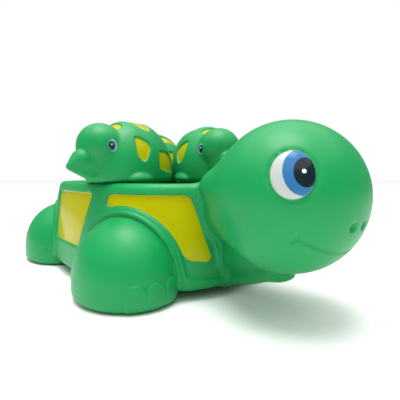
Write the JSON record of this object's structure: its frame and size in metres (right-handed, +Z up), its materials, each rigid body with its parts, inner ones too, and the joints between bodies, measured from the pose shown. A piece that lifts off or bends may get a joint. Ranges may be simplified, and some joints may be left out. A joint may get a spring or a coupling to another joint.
{
  "type": "squeaky bath toy",
  "caption": "Hollow soft-vinyl mother turtle with an open tray in its back that carries loose baby turtles; each body has an air squeaker pressed into its belly.",
  "frame": {"origin": "on the ground under the middle of the toy's length and width", "axes": "+X the way the mother looks, +Y to her left, +Z up"},
  "size_m": [0.1863, 0.108, 0.0708],
  "materials": {
    "vinyl_skin": "matte moulded soft vinyl, green, with glossy yellow paint in the shell pockets",
    "squeaker_plastic": "moulded white plastic",
    "reed_brass": "thin rolled strip"
  },
  "bodies": {
    "mother": {"mother_body": "vinyl_skin", "mother_squeaker_sleeve": "squeaker_plastic", "mother_reed_bed": "squeaker_plastic"},
    "mother_reed": {"mother_reed": "reed_brass"},
    "baby_right": {"baby_right_body": "vinyl_skin", "baby_right_squeaker_sleeve": "squeaker_plastic", "baby_right_reed_bed": "squeaker_plastic"},
    "baby_right_reed": {"baby_right_reed": "reed_brass"},
    "baby_front": {"baby_front_body": "vinyl_skin", "baby_front_squeaker_sleeve": "squeaker_plastic", "baby_front_reed_bed": "squeaker_plastic"},
    "baby_front_reed": {"baby_front_reed": "reed_brass"},
    "baby_rear": {"baby_rear_body": "vinyl_skin", "baby_rear_squeaker_sleeve": "squeaker_plastic", "baby_rear_reed_bed": "squeaker_plastic"},
    "baby_rear_reed": {"baby_rear_reed": "reed_brass"}
  },
  "joints": [
    {"name": "baby_right_lift", "type": "slide", "parent": "mother", "child": "baby_right", "axis": [0, 0, 1], "range_m": [0, 0.06]},
    {"name": "baby_front_lift", "type": "slide", "parent": "mother", "child": "baby_front", "axis": [0, 0, 1], "range_m": [0, 0.06]},
    {"name": "baby_rear_lift", "type": "slide", "parent": "mother", "child": "baby_rear", "axis": [0, 0, 1], "range_m": [0, 0.06]},
    {"name": "mother_reed_flex", "type": "hinge", "parent": "mother", "child": "mother_reed", "pos_m": [-0.02325, 0.00013, 0.00545], "axis": [1, 0, 0], "range_deg": [0, 4], "stiffness_Nm_per_rad": 0.0001},
    {"name": "baby_right_reed_flex", "type": "hinge", "parent": "baby_right", "child": "baby_right_reed", "pos_m": [-0.00267, -0.02118, 0.03666], "axis": [0.225, -0.9744, 0], "range_deg": [0, 4], "stiffness_Nm_per_rad": 0.00001},
    {"name": "baby_front_reed_flex", "type": "hinge", "parent": "baby_front", "child": "baby_front_reed", "pos_m": [0.00577, 0.01578, 0.03666], "axis": [0.9659, -0.2588, 0], "range_deg": [0, 4], "stiffness_Nm_per_rad": 0.00001},
    {"name": "baby_rear_reed_flex", "type": "hinge", "parent": "baby_rear", "child": "baby_rear_reed", "pos_m": [-0.03675, 0.01091, 0.03666], "axis": [-1, 0, 0], "range_deg": [0, 4], "stiffness_Nm_per_rad": 0.00001}
  ]
}
